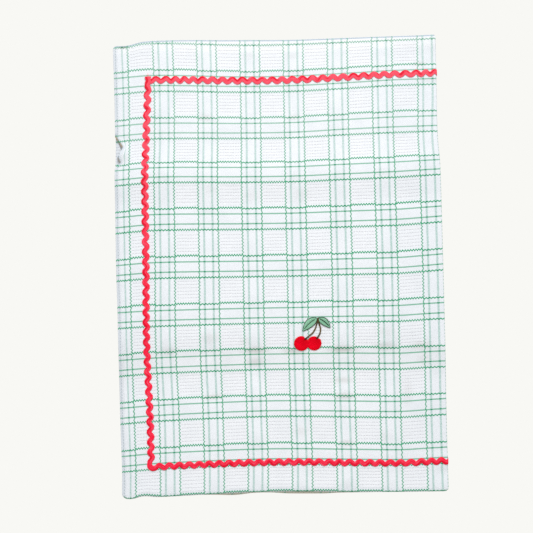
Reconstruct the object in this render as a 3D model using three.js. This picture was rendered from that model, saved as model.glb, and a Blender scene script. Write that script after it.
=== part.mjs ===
// A folded tablecloth: one woven cloth, a wavy trim tape sewn round it, and a stitched cherry motif.
// Millimetres, +Z up. The cloth lies flat, folded once, with the fold at +X and both loose hems at -X.
// Places on the cloth are given as s, the way along it, and v, the way up it. s runs from the upper
// layer's loose hem, over the fold, to the lower layer's loose hem; v runs from the near hem to the far one.

import * as THREE from 'three';

// Driving dimensions
const clothLength = 1300;
const clothWidth = 900;
const foldedWidth = clothLength / 2;
const clothThick = 1.6;
const hemWide = 8.5;
const hemStep = 2.5;
const hemThick = 3.0;
const hemEdgeThick = 1.8;
const hemRound = 2;
const layerGap = 0.8;
const seatGap = 0.35;
const tapeThick = 1.0;

// Heights of the upper layer's outer face over the floor
const restTop = 6.2;
const hemTop = 6.8;
const foldTop = 4.6;
const hemSettle = 45;
const foldSettle = 60;
const foldHalf = 3.6;
const foldSteps = 5;

// Storage creases that run across both layers: where, how high each layer stands there, and how wide
const creases = [
  { v: 627, top: 4.0, low: 2.5, reach: 62 },
  { v: 282, top: -2.0, low: 0, reach: 60 },
];

// How far the lying cloth has strayed from square: sideways and upward shift at each column
const driftColumns = [0, 75, 260, 360, 460, 560, 650];
const driftRows = [
  { v: 0, across: [5.5, 3.2, 0.1, -0.5, 0.4, 1.5, -1.4], up: [-5.5, -5, -0.5, -0.5, -3, -4.5, -4.5] },
  { v: 60, across: [5, 4.1, 1.5, 0.3, 0.5, 1.3, -1.2], up: [-11, -6, -1.8, -2.6, -5.8, -7.9, -6.1] },
  { v: 150, across: [3, 3.4, 0.8, -1, -0.7, 0.8, -1], up: [-8.9, -3.9, 0.6, -0.1, -3.5, -6.2, -2.8] },
  { v: 282, across: [2.6, 0.6, -1, -2.2, -1.7, 0.6, -0.5], up: [-6.1, -2, 0.7, 0.4, -0.8, -2.5, 0.3] },
  { v: 450, across: [2, 2, -0.7, -1.8, -1.1, 0.6, -1.4], up: [-2.2, 1.4, 0.2, 0, 0.9, 2, 6.5] },
  { v: 627, across: [4, 3.7, -0.4, -2.2, -2.4, -1.6, -3], up: [-2, 4, 1.1, 0.8, 3.2, 5.6, 8.8] },
  { v: 700, across: [4.5, 6.1, 1, -1.7, -2.7, -2.6, -6.5], up: [-3.9, 1, -2.7, -3.2, -0.3, 2.7, 4.3] },
  { v: 800, across: [5, 7.2, 1.4, -1.7, -2.7, -2.4, -7.3], up: [-4.9, 0.2, -5, -5.3, -2, 1.5, 2.7] },
  { v: 900, across: [5, 6.3, 1.7, -1, -1.9, -2.1, -7.5], up: [-12.5, 0.5, -1.5, -3, -1.5, -1, -1] },
];

// Where the upper layer's loose hem is pushed in beside the ridge, and the puff of cloth behind it
const dent = [
  { v: 648, push: 0 }, { v: 655, push: 9 }, { v: 668, push: 3 }, { v: 685, push: 16 }, { v: 711, push: 0 },
];
const dentFade = 55;
const puff = { u: 30, v: 670, rise: 3.2, reach: 26 };

// The lower layer shows under the near hem by this much, between these places along it
const peek = { depth: 3.6, from: 120, full: 200, fade: 560, to: 630, reach: 120 };

// Elsewhere the lower layer's hems lie this far inside the upper layer's
const lowerTuck = 0.8;

// Trim tape: a wave of round bumps, set in from the hems
const tape = {
  pitch: 19.4, amplitude: 4.2, wide: 7, corner: 9, sideInset: 58, nearInset: 61.5, farInset: 77.5,
};
const tapeLean = { from: 600, sideways: 6.5, fadeFrom: 95, fadeTo: 175 };
const edgeSamples = 8;
const tapeEnd = { overrun: 7, lift: 1.35, ramp: 26, tuck: 6 };
const waves = { side: 39, length: 61 };
const waveSteps = { all: 12, upperStride: 2, lowerStride: 3 };
const cornerDegrees = [15, 45, 75];
const tapeLift = seatGap + tapeThick;
const tapeReach = { full: 10.5, fade: 19 };

// Cherry motif, each piece placed from the point where the stems join
const motif = { u: 401.6, v: 339.6, fill: 0.9, edgeFill: 0.6, gap: 0.4 };
const cherries = [
  { name: 'cherry_left', u: -33.4, v: -46.4, radius: 15.1 },
  { name: 'cherry_right', u: -7.8, v: -47.1, radius: 14.4 },
];
const cherryShape = { crown: 1.7, sides: 24, circles: [1, 0.92, 0.62, 0.3] };
const stems = [
  { name: 'stem_left', half: 1.2, points: [[-22.4, -33.2], [-12, -24.5], [-5.2, -14.5], [-2.2, -5.2]] },
  { name: 'stem_right', half: 1.2, points: [[0.4, -34.3], [4.4, -26], [5.4, -16], [1.9, -5.2]] },
];
const leaves = [
  { name: 'leaf_left', base: [-2, 3], tip: [-30.4, -22], wide: 15.5, bow: 2.6 },
  { name: 'leaf_right', base: [2.2, 3], tip: [24.5, -15.8], wide: 12.5, bow: 2.2 },
];
const leafTip = 0.4;
const bandSteps = 8;

// Rows and columns of the cloth's faces: close at hems, creases, the dent and the tape, wide between
const rowsV = [0, hemRound, hemWide, hemWide + hemStep, 28, 42, 51, 72, 81, 122, 176, 222, 252, 272, 282,
  292, 312, 342, 395, 455, 510, 565, 595, 615, 627, 638, 648, 655, 662, 668, 677, 685, 698, 711, 745,
  780, 803, 812, 833, 842, 862, clothWidth - hemWide - hemStep, clothWidth - hemWide,
  clothWidth - hemRound, clothWidth];
const upperU = [0, hemRound, hemWide, hemWide + hemStep, 24, 39, 47.5, 68.5, 77, 110, 160, 220, 290, 360, 430,
  500, 560, 600, 630];
const lowerU = [637, 600, 530, 440, 340, 240, 150, 77, 68.5, 47.5, 39, hemWide + hemStep, hemWide,
  hemRound, 0];

const clamp01 = (t) => Math.min(1, Math.max(0, t));
const smooth = (t) => clamp01(t) ** 2 * (3 - 2 * clamp01(t));
const mix = (a, b, t) => a + (b - a) * t;
const fadeOut = (distance, full, end) => 1 - smooth((distance - full) / (end - full));

// Value at a place between unevenly spaced stations, on a smooth curve through the given values
function curveThrough(stations, values, at) {
  let k = 0;
  while (k < stations.length - 2 && at > stations[k + 1]) k += 1;
  const slope = (i) => {
    const a = Math.max(0, i - 1);
    const b = Math.min(stations.length - 1, i + 1);
    return (values[b] - values[a]) / (stations[b] - stations[a]);
  };
  const span = stations[k + 1] - stations[k];
  const t = clamp01((at - stations[k]) / span);
  const lead = (1 + 2 * t) * (1 - t) ** 2;
  const bend = t * (1 - t) ** 2 * slope(k) - t * t * (1 - t) * slope(k + 1);
  return lead * values[k] + (1 - lead) * values[k + 1] + span * bend;
}

function drift(key, u, v) {
  const alongRow = driftRows.map((row) => curveThrough(driftColumns, row[key], u));
  return curveThrough(driftRows.map((row) => row.v), alongRow, v);
}

function straightThrough(rows, key, v) {
  if (v <= rows[0].v || v >= rows[rows.length - 1].v) return 0;
  const k = rows.findIndex((row) => row.v >= v);
  const t = (v - rows[k - 1].v) / (rows[k].v - rows[k - 1].v);
  return mix(rows[k - 1][key], rows[k][key], t);
}

// Plan position of a place u in from the loose hems and v up, on the upper or the lower layer
function planPoint(u, v, upper) {
  const point = {
    x: u - foldedWidth / 2 + drift('across', u, v),
    y: v - clothWidth / 2 + drift('up', u, v),
  };
  if (upper) {
    point.x += straightThrough(dent, 'push', v) * fadeOut(u, hemWide + hemStep, dentFade);
    return point;
  }
  const within = smooth((u - peek.from) / (peek.full - peek.from)) * fadeOut(u, peek.fade, peek.to);
  point.y -= peek.depth * within * fadeOut(v, 0, peek.reach);
  point.x += lowerTuck * fadeOut(u, 0, dentFade);
  point.y += lowerTuck * (1 - 2 * smooth(v / clothWidth)) * fadeOut(u, 0, foldedWidth);
  return point;
}

const hemDistance = (u, v) => Math.min(u, v, clothWidth - v);

function thickness(u, v) {
  const d = hemDistance(u, v);
  if (d < hemRound) return mix(hemEdgeThick, hemThick, d / hemRound);
  return mix(hemThick, clothThick, clamp01((d - hemWide) / hemStep));
}

const edgeDrop = (u, v) => (hemThick - hemEdgeThick) / 2 * clamp01(1 - hemDistance(u, v) / hemRound);

function creaseHeight(v, key) {
  const part = (crease) => crease[key] * clamp01(1 - Math.abs(v - crease.v) / crease.reach) ** 2;
  return creases.reduce((sum, crease) => sum + part(crease), 0);
}

// The lower layer stands clear of the floor where the tape lies under it
function tapeClearance(u, v) {
  const farLine = clothWidth - tape.farInset;
  const inside = u > tape.sideInset - tapeReach.fade;
  const between = v > tape.nearInset - tapeReach.fade && v < farLine + tapeReach.fade;
  const gaps = [between ? Math.abs(u - tape.sideInset) : Infinity];
  if (inside) gaps.push(Math.abs(v - tape.nearInset), Math.abs(v - farLine));
  return tapeLift * fadeOut(Math.min(...gaps), tapeReach.full, tapeReach.fade);
}

const lowerFace = (u, v) => creaseHeight(v, 'low') + tapeClearance(u, v) + edgeDrop(u, v);

function foldTopAt(v) {
  const hem = clamp01((thickness(foldedWidth, v) - clothThick) / (hemThick - clothThick));
  return lowerFace(foldedWidth, v) + mix(foldTop, hemTop, hem);
}

function upperFace(u, v) {
  const nearHem = fadeOut(hemDistance(u, v), hemWide, hemSettle);
  const away = Math.hypot(u - puff.u, v - puff.v) / puff.reach;
  const relief = creaseHeight(v, 'top') + puff.rise * fadeOut(away, 0, 1);
  const pressed = lowerFace(u, v) + 2 * thickness(u, v) + layerGap;
  const open = Math.max(mix(restTop, hemTop, nearHem) + relief - edgeDrop(u, v), pressed);
  return mix(foldTopAt(v), open, smooth((foldedWidth - u) / foldSettle));
}

// Outer or inner face of the cloth at s, v: the outer face looks up on the upper layer and down below
function clothPoint(s, v, inner) {
  const turn = (s - foldedWidth) / foldHalf;
  if (Math.abs(turn) > 1) {
    const upper = turn < 0;
    const u = upper ? s : clothLength - s;
    const { x, y } = planPoint(u, v, upper);
    const inward = inner ? thickness(u, v) : 0;
    return new THREE.Vector3(x, y, upper ? upperFace(u, v) - inward : lowerFace(u, v) + inward);
  }
  const { x, y } = planPoint(foldedWidth, v, true);
  const low = lowerFace(foldedWidth, v);
  const round = (foldTopAt(v) - low) / 2;
  const radius = round - (inner ? thickness(foldedWidth, v) : 0);
  const angle = -turn * Math.PI / 2;
  return new THREE.Vector3(x - round + radius * Math.cos(angle), y, low + round + radius * Math.sin(angle));
}

const foldStation = (k) => foldedWidth + foldHalf * (2 * k / foldSteps - 1);
const foldS = Array.from({ length: foldSteps + 1 }, (_, k) => foldStation(k));
const columnsS = [...upperU, ...foldS, ...lowerU.map((u) => clothLength - u)];
const outerGrid = columnsS.map((s) => rowsV.map((v) => clothPoint(s, v, false)));
const innerGrid = columnsS.map((s) => rowsV.map((v) => clothPoint(s, v, true)));

function solidMesh(name, points, faces, material) {
  const geometry = new THREE.BufferGeometry();
  const numbers = points.flatMap((point) => [point.x, point.y, point.z]);
  geometry.setAttribute('position', new THREE.Float32BufferAttribute(numbers, 3));
  geometry.setIndex(faces.flat());
  geometry.computeVertexNormals();
  const mesh = new THREE.Mesh(geometry, material);
  mesh.name = name;
  return mesh;
}

const quad = (a, b, c, d) => [[a, b, c], [a, c, d]];

function makeCloth() {
  const rows = rowsV.length;
  const columns = columnsS.length;
  const inner = rows * columns;
  const at = (i, j) => i * rows + j;
  const faces = [];
  for (let i = 0; i < columns - 1; i += 1) {
    for (let j = 0; j < rows - 1; j += 1) {
      const corners = [at(i, j), at(i + 1, j), at(i + 1, j + 1), at(i, j + 1)];
      faces.push(...quad(...corners));
      faces.push(...quad(...corners.map((k) => k + inner)).map(([a, b, c]) => [a, c, b]));
    }
    const near = [at(i, 0), at(i + 1, 0)];
    const far = [at(i + 1, rows - 1), at(i, rows - 1)];
    for (const [a, b] of [near, far]) faces.push(...quad(a + inner, b + inner, b, a));
  }
  for (let j = 0; j < rows - 1; j += 1) {
    const start = [at(0, j + 1), at(0, j)];
    const end = [at(columns - 1, j), at(columns - 1, j + 1)];
    for (const [a, b] of [start, end]) faces.push(...quad(a + inner, b + inner, b, a));
  }
  const cotton = new THREE.MeshStandardMaterial({ color: 0xf4f6f8, roughness: 0.95, metalness: 0 });
  return solidMesh('cloth', [...outerGrid.flat(), ...innerGrid.flat()], faces, cotton);
}

// A point on the cloth's outer faces as built, so that what is sewn on seats on them exactly
function seatPoint(s, v, height) {
  const find = (stations, value) => {
    const k = stations.findIndex((station) => station > value) - 1;
    return k < 0 ? stations.length - 2 : k;
  };
  const i = find(columnsS, s);
  const j = find(rowsV, v);
  const a = (s - columnsS[i]) / (columnsS[i + 1] - columnsS[i]);
  const b = (v - rowsV[j]) / (rowsV[j + 1] - rowsV[j]);
  const from = outerGrid[i][j];
  const to = outerGrid[i + 1][j + 1];
  const via = b <= a ? outerGrid[i + 1][j] : outerGrid[i][j + 1];
  const [first, second] = b <= a ? [a, b] : [b, a];
  const point = from.clone().addScaledVector(via.clone().sub(from), first);
  point.addScaledVector(to.clone().sub(via), second);
  const turn = THREE.MathUtils.clamp((s - foldedWidth) / foldHalf, -1, 1);
  const angle = -turn * Math.PI / 2;
  return point.add(new THREE.Vector3(height * Math.cos(angle), 0, height * Math.sin(angle)));
}

// A solid through rings of points that run clockwise seen from the start, closed with flat ends
function loftSolid(name, rings, material) {
  const size = rings[0].length;
  const faces = [];
  for (let k = 0; k < rings.length - 1; k += 1) {
    for (let m = 0; m < size; m += 1) {
      const next = (m + 1) % size;
      faces.push(...quad(k * size + m, k * size + next, (k + 1) * size + next, (k + 1) * size + m));
    }
  }
  const last = (rings.length - 1) * size;
  for (let m = 1; m < size - 1; m += 1) faces.push([0, m + 1, m], [last, last + m, last + m + 1]);
  return solidMesh(name, rings.flat(), faces, material);
}

// Half of the tape's outline: a disc swept along the wave gives round bumps with sharp notches between
function tapeEdge(phase, side) {
  const reach = tape.wide / 2;
  const step = reach / edgeSamples;
  let edge = -Infinity;
  for (let k = -edgeSamples; k <= edgeSamples; k += 1) {
    const wave = side * tape.amplitude * Math.cos(phase + 2 * Math.PI * k * step / tape.pitch);
    edge = Math.max(edge, wave + Math.sqrt(Math.max(0, reach ** 2 - (k * step) ** 2)));
  }
  return side * edge;
}

// The tape's centre line: down the upper layer's side, along the near hem, up the lower layer's side and
// back along the far hem. Each leg runs from the middle of one turned corner to the middle of the next.
const farLine = clothWidth - tape.farInset;
const sideTurn = { s: tape.sideInset, back: clothLength - tape.sideInset };
const tapeLegs = [
  { from: [sideTurn.s, farLine], to: [sideTurn.s, tape.nearInset], waves: waves.side, open: 'start' },
  { from: [sideTurn.s, tape.nearInset], to: [sideTurn.back, tape.nearInset], waves: waves.length },
  { from: [sideTurn.back, tape.nearInset], to: [sideTurn.back, farLine], waves: waves.side },
  { from: [sideTurn.back, farLine], to: [sideTurn.s, farLine], waves: waves.length, open: 'end' },
];

function legStations(leg) {
  const from = new THREE.Vector2(...leg.from);
  const to = new THREE.Vector2(...leg.to);
  const length = from.distanceTo(to);
  const ahead = to.clone().sub(from).normalize();
  const outward = new THREE.Vector2(ahead.y, -ahead.x).negate();
  const steps = leg.waves * waveSteps.all;
  const stations = [];
  for (let k = 0; k <= steps; k += 1) {
    const along = length * k / steps;
    const upper = from.x + ahead.x * along < foldedWidth;
    const stride = upper ? waveSteps.upperStride : waveSteps.lowerStride;
    if (k % stride === 0) stations.push({ along, phase: 2 * Math.PI * leg.waves * k / steps });
  }
  snapToCloth(stations, leg, ahead);
  return { from, length, ahead, outward, stations };
}

// Moves the nearest station onto each row or column of the cloth that the tape crosses
function snapToCloth(stations, leg, ahead) {
  const crossesRows = Math.abs(ahead.y) > 0.5;
  const lines = crossesRows ? rowsV : columnsS;
  const start = crossesRows ? leg.from[1] : leg.from[0];
  const sign = crossesRows ? ahead.y : ahead.x;
  const length = stations[stations.length - 1].along;
  for (const line of lines) {
    const along = (line - start) * sign;
    if (along > tape.corner && along < length - tape.corner) {
      const phase = stations[stations.length - 1].phase * along / length;
      stations.push({ along, phase, fixed: true });
    }
  }
  const spare = tape.pitch / waveSteps.all;
  stations.sort((a, b) => a.along - b.along);
  const fixed = stations.filter((station) => station.fixed);
  const crowded = (station) => fixed.some((f) => f !== station && Math.abs(f.along - station.along) < spare);
  const kept = stations.filter((station) => station.fixed || !crowded(station));
  stations.splice(0, stations.length, ...kept);
}

function tapeRings() {
  const rings = [];
  const radiansPerWay = 2 * Math.PI / tape.pitch;
  const addRing = (centre, outward, phase, lift) => {
    const ringPoint = (side, height) => {
      const place = centre.clone().addScaledVector(outward, tapeEdge(phase, side));
      const lean = clamp01((place.y - tapeLean.from) / (farLine - tapeLean.from)) ** 2;
      const sideways = tapeLean.sideways * lean * fadeOut(place.x, tapeLean.fadeFrom, tapeLean.fadeTo);
      return seatPoint(place.x + sideways, place.y, height + lift);
    };
    const corners = [[1, seatGap], [1, tapeLift], [-1, tapeLift], [-1, seatGap]];
    rings.push(corners.map(([side, height]) => ringPoint(side, height)));
  };
  for (const leg of tapeLegs) {
    const { from, length, ahead, outward, stations } = legStations(leg);
    const [opens, closes] = [leg.open === 'start', leg.open === 'end'];
    const startCut = opens ? -tapeEnd.overrun : tape.corner;
    const endCut = closes ? length - tapeEnd.tuck : length - tape.corner;
    if (opens) stations.unshift({ along: startCut, phase: startCut * radiansPerWay });
    for (const { along, phase } of stations) {
      if (along >= startCut && along <= endCut) {
        const lift = opens ? tapeEnd.lift * fadeOut(along, 0, tapeEnd.ramp) : 0;
        addRing(from.clone().addScaledVector(ahead, along), outward, phase, lift);
      }
    }
    if (closes) continue;
    const pivot = from.clone().addScaledVector(ahead, length - tape.corner);
    pivot.addScaledVector(outward, -tape.corner);
    for (const degrees of cornerDegrees) {
      const angle = THREE.MathUtils.degToRad(degrees);
      const spoke = outward.clone().multiplyScalar(Math.cos(angle)).addScaledVector(ahead, Math.sin(angle));
      const phase = tape.corner * THREE.MathUtils.degToRad(degrees - 45) * radiansPerWay;
      addRing(pivot.clone().addScaledVector(spoke, tape.corner), spoke, phase, 0);
    }
  }
  return rings;
}

function makeTape() {
  const braid = new THREE.MeshStandardMaterial({ color: 0xf23a52, roughness: 0.8, metalness: 0 });
  return loftSolid('rick_rack', tapeRings(), braid);
}

const motifPoint = (u, v, height) => seatPoint(motif.u + u, motif.v + v, height);

// How far a cherry reaches from its centre at an angle: the left one stops short of the right one
function cherryReach(cherry, angle) {
  const [left, right] = cherries;
  if (cherry !== left) return cherry.radius;
  const away = new THREE.Vector2(right.u - left.u, right.v - left.v);
  const ray = new THREE.Vector2(Math.cos(angle), Math.sin(angle));
  const middle = ray.dot(away);
  const square = middle ** 2 - away.lengthSq() + (right.radius + motif.gap) ** 2;
  return square > 0 && middle > 0 ? Math.min(cherry.radius, middle - Math.sqrt(square)) : cherry.radius;
}

function makeCherry(cherry) {
  const sides = cherryShape.sides;
  const circles = cherryShape.circles;
  const points = [];
  const faces = [];
  const bulge = cherryShape.crown - motif.edgeFill;
  const dome = (r) => seatGap + motif.edgeFill + bulge * Math.sqrt(1 - r * r);
  const underside = circles.slice().reverse().map((r) => [r, seatGap]);
  const layers = [...underside, ...circles.map((r) => [r, dome(r)])];
  points.push(motifPoint(cherry.u, cherry.v, seatGap));
  for (const [r, height] of layers) {
    for (let k = 0; k < sides; k += 1) {
      const angle = 2 * Math.PI * k / sides;
      const reach = r * cherryReach(cherry, angle);
      const [across, up] = [reach * Math.cos(angle), reach * Math.sin(angle)];
      points.push(motifPoint(cherry.u + across, cherry.v + up, height));
    }
  }
  points.push(motifPoint(cherry.u, cherry.v, dome(0)));
  const last = points.length - 1;
  for (let k = 0; k < sides; k += 1) {
    const next = (k + 1) % sides;
    faces.push([0, 1 + next, 1 + k], [last, last - sides + k, last - sides + next]);
    for (let m = 0; m < layers.length - 1; m += 1) {
      const a = 1 + m * sides;
      faces.push(...quad(a + k, a + next, a + sides + next, a + sides + k));
    }
  }
  const thread = new THREE.MeshStandardMaterial({ color: 0xe0061f, roughness: 0.55, metalness: 0 });
  return solidMesh(cherry.name, points, faces, thread);
}

// A stitched band: its half width at each step sets out a raised strip that lies on the cloth
function bandSolid(name, centres, halfWidths, material) {
  const rings = centres.map((centre, k) => {
    const before = centres[Math.max(0, k - 1)];
    const after = centres[Math.min(centres.length - 1, k + 1)];
    const ahead = after.clone().sub(before).normalize();
    const left = new THREE.Vector2(-ahead.y, ahead.x).multiplyScalar(halfWidths[k]);
    const corner = (side, height) => motifPoint(centre.x + side * left.x, centre.y + side * left.y, height);
    const top = seatGap + motif.fill;
    return [corner(1, seatGap), corner(1, seatGap + motif.edgeFill), corner(0, top),
      corner(-1, seatGap + motif.edgeFill), corner(-1, seatGap), corner(0, seatGap)];
  });
  return loftSolid(name, rings, material);
}

function makeStem(stem) {
  const curve = new THREE.CatmullRomCurve3(stem.points.map(([x, y]) => new THREE.Vector3(x, y, 0)));
  const centres = curve.getPoints(bandSteps).map((point) => new THREE.Vector2(point.x, point.y));
  const thread = new THREE.MeshStandardMaterial({ color: 0x5c452b, roughness: 0.6, metalness: 0 });
  return bandSolid(stem.name, centres, centres.map(() => stem.half), thread);
}

function makeLeaf(leaf) {
  const base = new THREE.Vector2(...leaf.base);
  const tip = new THREE.Vector2(...leaf.tip);
  const ahead = tip.clone().sub(base);
  const upward = new THREE.Vector2(-ahead.y, ahead.x).normalize();
  upward.multiplyScalar(Math.sign(upward.y));
  const centres = [];
  const halfWidths = [];
  for (let k = 0; k <= bandSteps; k += 1) {
    const t = k / bandSteps;
    const bow = leaf.bow * Math.sin(Math.PI * t);
    centres.push(base.clone().addScaledVector(ahead, t).addScaledVector(upward, bow));
    halfWidths.push(leafTip + leaf.wide / 2 * Math.sin(Math.PI * t ** 0.9) ** 0.85);
  }
  const thread = new THREE.MeshStandardMaterial({ color: 0x96cdae, roughness: 0.6, metalness: 0 });
  return bandSolid(leaf.name, centres, halfWidths, thread);
}

const tablecloth = new THREE.Group();
tablecloth.add(makeCloth(), makeTape());
tablecloth.add(...cherries.map(makeCherry), ...stems.map(makeStem), ...leaves.map(makeLeaf));

// The origin is the middle of the folded cloth's outline, on the floor
const box = new THREE.Box3().setFromObject(tablecloth);
const middle = box.getCenter(new THREE.Vector3());
tablecloth.position.set(-middle.x, -middle.y, -box.min.z);

export default tablecloth;
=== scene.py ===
import math
from functools import lru_cache

import bmesh
import bpy
from mathutils import Euler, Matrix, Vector


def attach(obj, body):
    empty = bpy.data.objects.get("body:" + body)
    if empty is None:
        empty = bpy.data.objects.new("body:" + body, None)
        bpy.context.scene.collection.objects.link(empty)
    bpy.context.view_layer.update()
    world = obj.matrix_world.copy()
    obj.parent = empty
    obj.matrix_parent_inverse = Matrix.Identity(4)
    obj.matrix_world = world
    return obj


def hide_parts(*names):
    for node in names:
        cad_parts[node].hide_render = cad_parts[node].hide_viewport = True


# A folded tablecloth: white cotton in waffle and plain weave with a green windowpane plaid, a red wavy
# trim tape sewn round it and a stitched pair of cherries. Sizes are millimetres until they go into a mesh.
# A place on the cloth is (s, v): s runs from the upper layer's loose hem over the fold to the lower
# layer's loose hem, and v from the near hem to the far one. On each layer u is the way from its loose hem.

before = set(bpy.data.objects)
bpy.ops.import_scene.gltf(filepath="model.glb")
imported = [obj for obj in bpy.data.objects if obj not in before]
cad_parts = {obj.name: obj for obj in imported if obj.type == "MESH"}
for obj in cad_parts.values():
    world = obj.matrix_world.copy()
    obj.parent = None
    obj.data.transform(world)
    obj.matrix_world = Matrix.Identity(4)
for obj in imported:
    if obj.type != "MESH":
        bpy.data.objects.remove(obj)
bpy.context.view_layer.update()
metres = 0.001

# The cloth's own sizes and the heights it lies at
cloth = {
    "length": 1300, "width": 900, "thick": 1.1, "thinnest": 0.12,
    "hemWide": 8.5, "hemStep": 2.5, "hemThick": 3.0, "hemRound": 4.2,
    "hemStations": [0, 0.12, 0.5, 1.2, 2.2, 3.3, 4.2, 6.4, 8.5, 9.6, 11],
    "restTop": 6.2, "hemTop": 6.8, "foldTop": 4.6,
    "hemSettle": 45, "foldSettle": 60, "foldHalf": 3.6, "foldSteps": 12,
    "layerGap": 0.8, "upperSpacing": 4.8, "lowerSpacing": 9,
    "middle": (1.0014, -3.1812),  # the folded outline's middle, which lies on the origin
}
folded = cloth["length"] / 2

# Storage creases across both layers: how high each layer stands there, how wide, and how much more
# the plain-weave columns give than the waffle between them
creases = [
    {"v": 627, "top": 3.4, "low": 2.2, "above": 80, "below": 62, "plainMore": 0.25, "sharp": False},
    {"v": 281, "top": -2.6, "low": 0, "above": 48, "below": 170, "plainMore": 0.6, "sharp": True},
]
plainMean = 0.3  # how raised the plain columns are over the whole cloth

# How far the lying cloth has strayed from square, sideways and up, at each of these rows and columns
stray = {
    "columns": [0, 75, 260, 360, 460, 560, 610, 650],
    "rows": [0, 60, 150, 282, 370, 450, 627, 700, 800, 900],
    "across": [
        [2.5, 3.2, 0.1, -0.5, 0.4, 1.5, 2.6, 1.8],
        [4, 4.1, 1.5, 0.3, 0.5, 1.3, 2.4, 1.2],
        [2.6, 4, 1, -1, -0.7, 0.8, 2, 0.8],
        [1.5, 0, -1, -2.2, -1.7, 0.6, 2.1, 1.3],
        [1.5, 0.4, -0.8, -1.9, -1.3, 0.6, 1.9, 0.9],
        [0.6, 2, -0.7, -1.8, -1.1, 0.6, 1.7, 0.4],
        [1.8, 3.7, -0.4, -2.2, -2.4, -1.6, -0.2, -1.4],
        [3.8, 6.1, 1, -1.7, -2.7, -2.6, -2.3, -5.2],
        [4.2, 7.6, 1.4, -1.7, -2.7, -2.4, -0.6, -5.4],
        [3.2, 6.1, 1.7, -1, -1.9, -2.1, -0.6, -5.5],
    ],
    "up": [
        [-5.5, -5, 0.5, 0.3, -3, -4.9, -5.2, -5.4],
        [-10.5, -6, -1.8, -2.6, -5.8, -8.4, -7, -6.1],
        [-8.4, -3.9, 0.6, -0.1, -3.5, -6.2, -4, -2.4],
        [-5.6, -2, 0.7, 0.4, -0.4, -2.5, -0.6, 0.3],
        [-3.6, -1.2, -0.3, -0.6, -0.6, -0.6, 1.9, 3.4],
        [-3.2, 1.2, 0.4, 0, 0.9, 1.4, 4.2, 6.8],
        [-0.4, 4.5, 1.5, 0.8, 3.2, 5.6, 7.8, 9.4],
        [-5.4, -0.8, -3.7, -4.2, -0.6, 1.8, 2.6, 3.4],
        [-4.4, 0.2, -5, -5.3, -2, 2.2, 2.9, 3.4],
        [-8.5, 0.5, -1.5, -3, -1.5, 0, 0.6, 1.8],
    ],
}

# Where the upper layer's loose hem is pushed in beside the ridge, and the puff of cloth behind it
dent = {"places": [651, 661, 674, 694, 716], "push": [0, 10, 4, 14.5, 0],
        "fade": (3, 26), "creep": 0.6}
puff = {"u": 11, "v": 682, "rise": 3.6, "reach": 25}
# Each slit gets painted tan shadow, where the upper layer's hem lifts off the lower one
slits = [(707, 18, 2), (667, 10, 1.75)]  # middle, half length and how dark, where that cloth lifts

# The lower layer shows under the near hem by this much, at these places along it
peek = {"places": [120, 180, 226, 264, 300, 335, 400, 440, 560],
        "depth": [0, 2.2, 5, 2.4, 2.6, 5, 4.8, 2.2, 0], "reach": 120, "tuck": 0.8}

# The folded cloth's corners are a little round: where each is, and its radius
corners = [(0, 0, 11), (0, 900, 8), (650, 0, 8), (650, 900, 6)]

# Beside the loose hem both ends sag or are drawn in: middle, reach, depth, and how far in it goes
droops = [(16, 0, 24, 2.6, 50), (46, 0, 26, -2.4, 50), (28, 900, 30, 3.2, 60)]

# The plaid: groups of four lines each way, a zigzag at both sides of a group and two straight lines in it
plaid = {
    "columnStart": 76.2, "columnRepeat": 88.6, "columnZigs": [0, 39.9], "columnFines": [10.9, 28.4],
    "rowStart": 56.8, "rowRepeat": 92.9, "rowZigs": [0, 41.7], "rowFines": [11.2, 30.6],
    "nearCreep": 3.5, "nearReach": 40, "sideCreep": -7.5, "sideReach": 22,
    "farCreep": [4, 2, -3, -2.2, -1.8, -1.4, -1, -1], "farRise": (800, 870),
    "foldCreep": 2.2, "foldCreepFar": 5.5, "foldReach": 34, "foldRise": (690, 790),
}

# Cotton puffs up where plain weave lies between the tighter waffle blocks
pucker = {"column": 0.38, "row": 0.24, "block": 0.5, "least": 0.5, "waffle": -0.25, "waffleSteep": 3,
          "edge": (8, 26), "pillow": 1.3, "pillowStart": 6, "pillowLeast": 0.25}

# Small soft troughs and ridges: middle, the way they run in degrees, length, width, rise
ripples = [
    (92, 284, 84, 30, 9, -0.7), (182, 286, 95, 34, 9, -0.8), (270, 282, 88, 26, 8, -0.7),
    (448, 287, 92, 30, 9, -0.7), (536, 283, 86, 32, 9, -0.8), (98, 640, 100, 36, 10, 0.8),
    (360, 634, 82, 36, 10, 0.8), (540, 630, 97, 34, 10, 0.8),
]


def clamp01(t):
    return min(1.0, max(0.0, t))


def smooth(t):
    return clamp01(t) ** 2 * (3 - 2 * clamp01(t))


def mix(a, b, t):
    return a + (b - a) * t


def ramp(value, start, end):
    return smooth((value - start) / (end - start))


def fadeOut(distance, full, end):
    return 1 - ramp(distance, full, end)


def arch(t):  # up from 0 to 1 and down again, as t goes from 0 to 1
    return math.sin(math.pi * t)


def curveThrough(stations, values, at):  # a smooth curve through values at unevenly spaced stations
    k = 0
    last = len(stations) - 1
    while k < last - 1 and at > stations[k + 1]:
        k += 1

    def slope(i):
        a, b = max(0, i - 1), min(last, i + 1)
        return (values[b] - values[a]) / (stations[b] - stations[a])

    span = stations[k + 1] - stations[k]
    t = clamp01((at - stations[k]) / span)
    lead = (1 + 2 * t) * (1 - t) ** 2
    bend = t * (1 - t) ** 2 * slope(k) - t * t * (1 - t) * slope(k + 1)
    return lead * values[k] + (1 - lead) * values[k + 1] + span * bend


@lru_cache(maxsize=None)
def strayColumn(key, u):
    return [curveThrough(stray["columns"], row, u) for row in stray[key]]


def strayed(key, u, v):
    return curveThrough(stray["rows"], strayColumn(key, u), v)


def fromHem(s):
    return s if s < folded else cloth["length"] - s


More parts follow.
